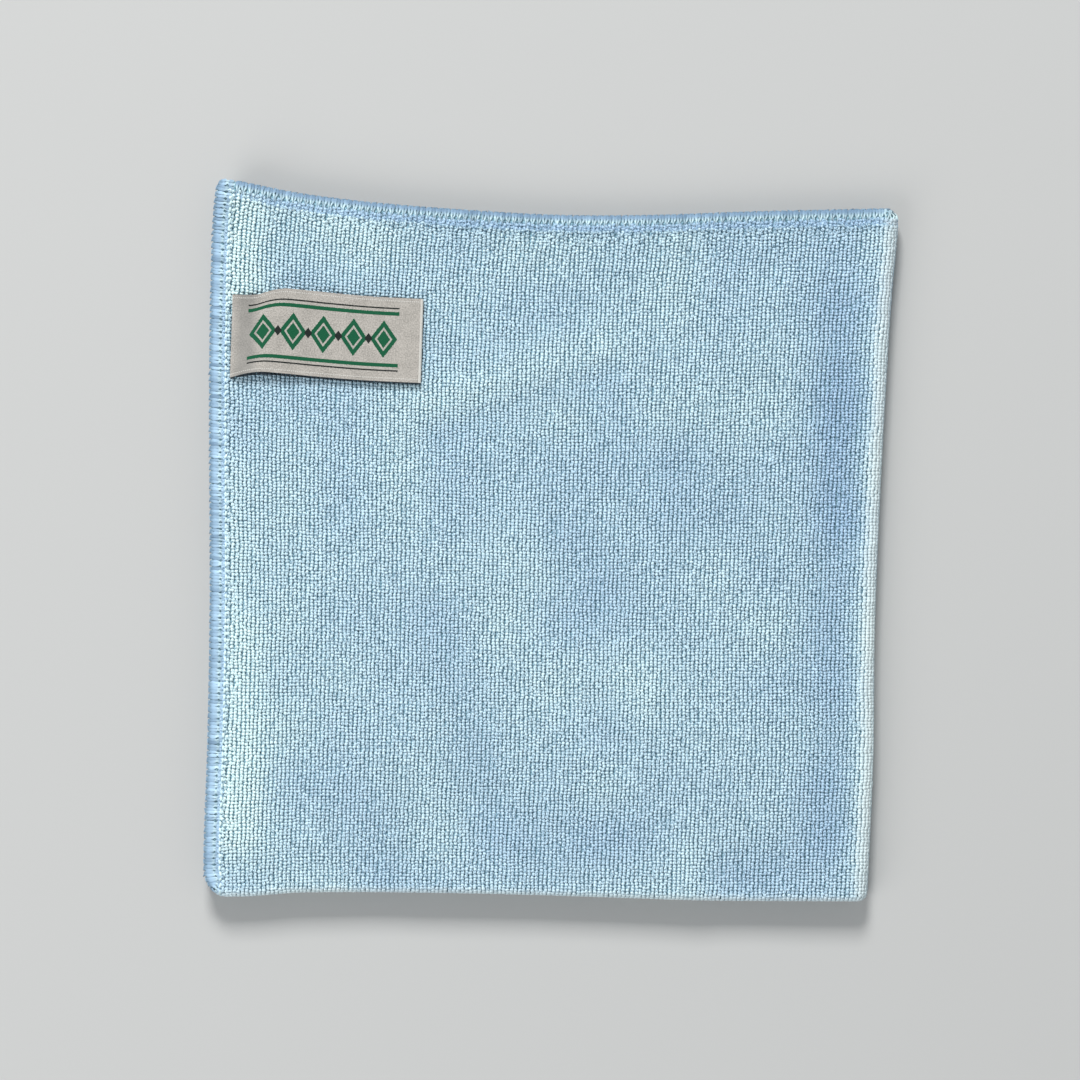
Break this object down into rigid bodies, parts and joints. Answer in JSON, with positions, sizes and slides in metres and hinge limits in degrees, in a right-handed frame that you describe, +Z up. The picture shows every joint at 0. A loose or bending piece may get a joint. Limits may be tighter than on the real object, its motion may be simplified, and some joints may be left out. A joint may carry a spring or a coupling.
{
  "type": "microfibre cloth",
  "caption": "Light blue knitted microfibre cloth with overlocked hems, folded flat into a square pad, with a blank ribbon label caught in one hem; wipes and dries surfaces.",
  "frame": {"origin": "middle of the footprint, on the flat underside", "axes": "+Z up out of the top layer; +Y along the knit's rows, from the folded edge to the free hem; +X from the labelled hem to the other folded edge"},
  "size_m": [0.2078, 0.2156, 0.012],
  "materials": {
    "terry": "matt looped pile in fine lengthwise rows, with a faint sheen at its edges",
    "label_satin": "smooth off-white woven satin"
  },
  "bodies": {
    "root": {"cloth": "terry", "label": "label_satin"}
  },
  "joints": []
}
